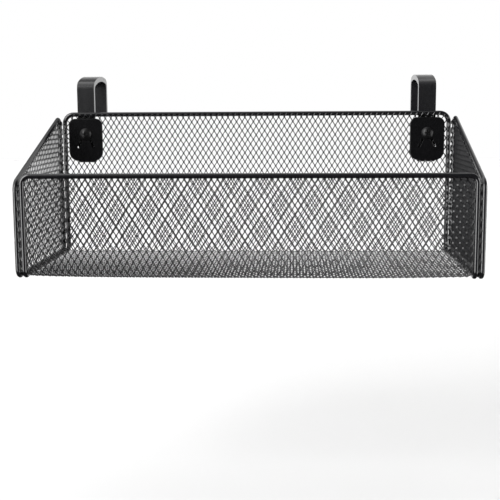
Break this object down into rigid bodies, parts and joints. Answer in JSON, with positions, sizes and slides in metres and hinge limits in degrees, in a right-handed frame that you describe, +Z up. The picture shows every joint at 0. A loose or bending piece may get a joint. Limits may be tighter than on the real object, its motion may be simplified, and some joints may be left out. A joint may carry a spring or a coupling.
{
  "type": "cable tray",
  "caption": "Black wire-framed mesh tray with an open top, sloping ends and two screwed-on flat-bar hooks that hang it from a desk panel or rail.",
  "frame": {"origin": "bottom centre of the whole object's box, on the plane its wires stand on", "axes": "+X along the tray, +Z up, front wall towards -Y, hooks towards +Y"},
  "size_m": [0.359, 0.212, 0.1606],
  "materials": {
    "mesh_coat": "satin black powder coat on expanded metal",
    "wire_coat": "gloss black powder coat on round wire",
    "hook_coat": "satin black powder coat on flat bar",
    "plate_coat": "semi-gloss black coat on pressed plate",
    "screw_black": "black-plated domed screw"
  },
  "bodies": {
    "tray": {"channel_mesh": "mesh_coat", "rim_wire": "wire_coat", "left_end_frame": "wire_coat", "right_end_frame": "wire_coat", "left_end_mesh": "mesh_coat", "right_end_mesh": "mesh_coat", "left_clamp_plate": "plate_coat", "right_clamp_plate": "plate_coat"},
    "left_hook_arm": {"left_hook": "hook_coat", "left_clamp_screw": "screw_black"},
    "right_hook_arm": {"right_hook": "hook_coat", "right_clamp_screw": "screw_black"}
  },
  "joints": [
    {"name": "left_hook_swivel", "type": "hinge", "parent": "tray", "child": "left_hook_arm", "pos_m": [-0.1535, 0.04431, 0.108], "axis": [0, 1, 0], "range_deg": [-90, 90]},
    {"name": "right_hook_swivel", "type": "hinge", "parent": "tray", "child": "right_hook_arm", "pos_m": [0.1535, 0.04431, 0.108], "axis": [0, 1, 0], "range_deg": [-90, 90]}
  ]
}
